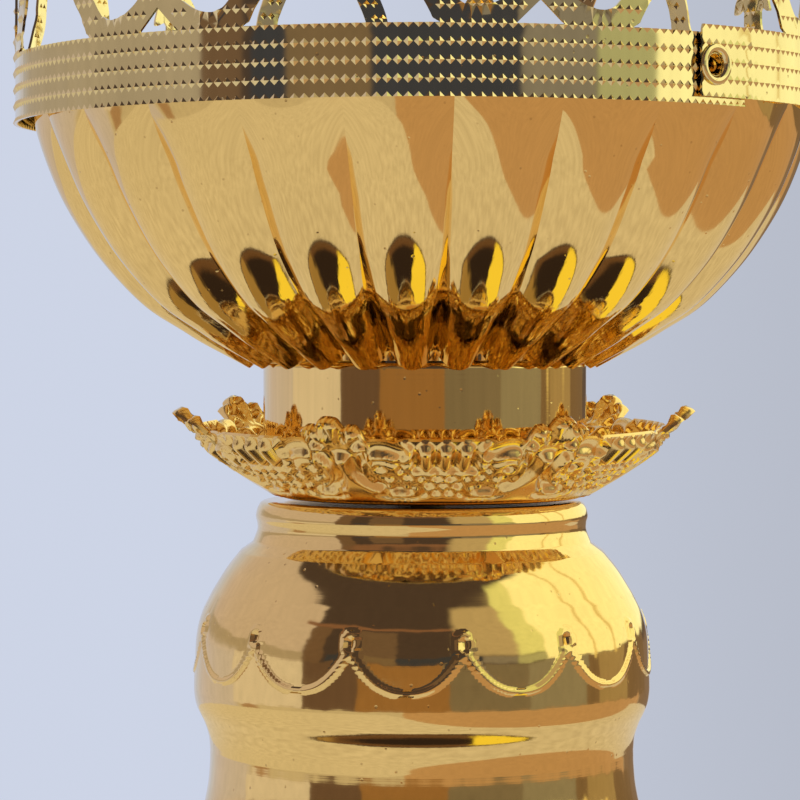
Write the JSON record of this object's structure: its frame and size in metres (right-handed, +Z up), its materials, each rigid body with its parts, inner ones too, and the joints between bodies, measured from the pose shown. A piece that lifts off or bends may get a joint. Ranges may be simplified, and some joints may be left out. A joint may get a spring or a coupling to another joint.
{
  "type": "standing vigil lamp",
  "caption": "Standing oil lamp with a gadrooned bowl, loose pierced crown gallery, leaf drip tray, vase stem and bell foot on a tie rod, with an oil glass and floating wick.",
  "frame": {"origin": "centre of the underside of the felt pad, on the surface that the lamp stands on", "axes": "+Z up along the tie rod, -Y the front seen in the picture, +X to the right in it"},
  "size_m": [0.111, 0.111, 0.2556],
  "materials": {
    "gilt": "mirror-polished gold lacquer",
    "brass": "plain bright brass",
    "steel": "zinc plated",
    "iron": "rough black casting",
    "clear_glass": "clear, polished",
    "cork": "cut cork",
    "cotton": "waxed cotton",
    "felt": "pressed wool felt"
  },
  "bodies": {
    "lamp": {"base_felt": "felt", "foot_plate": "steel", "ballast_ring": "iron", "foot_bell": "gilt", "lower_ring": "gilt", "lower_knop": "gilt", "upper_ring": "gilt", "vase_disc": "steel", "vase_shell": "gilt", "leaf_tray": "gilt", "bowl_collar": "gilt", "spacer_tube": "steel", "bowl_shell": "gilt", "glass_rest": "steel", "tie_rod": "steel", "bottom_washer": "steel", "bottom_nut": "steel", "top_washer": "steel", "top_nut": "steel"},
    "crown": {"crown_gallery": "gilt", "crown_eyelet": "gilt"},
    "glass": {"glass_cup": "clear_glass"},
    "float": {"float_cork": "cork", "float_plate": "brass", "wick_tube": "brass"},
    "wick": {"wick": "cotton"}
  },
  "joints": [
    {"name": "crown_lift", "type": "slide", "parent": "lamp", "child": "crown", "axis": [0, 0, 1], "range_m": [0, 0.05]},
    {"name": "glass_lift", "type": "slide", "parent": "lamp", "child": "glass", "axis": [0, 0, 1], "range_m": [0, 0.07]},
    {"name": "float_rise", "type": "slide", "parent": "glass", "child": "float", "axis": [0, 0, 1], "range_m": [0, 0.035]},
    {"name": "wick_feed", "type": "slide", "parent": "float", "child": "wick", "axis": [0, 0, 1], "range_m": [0, 0.006]}
  ]
}
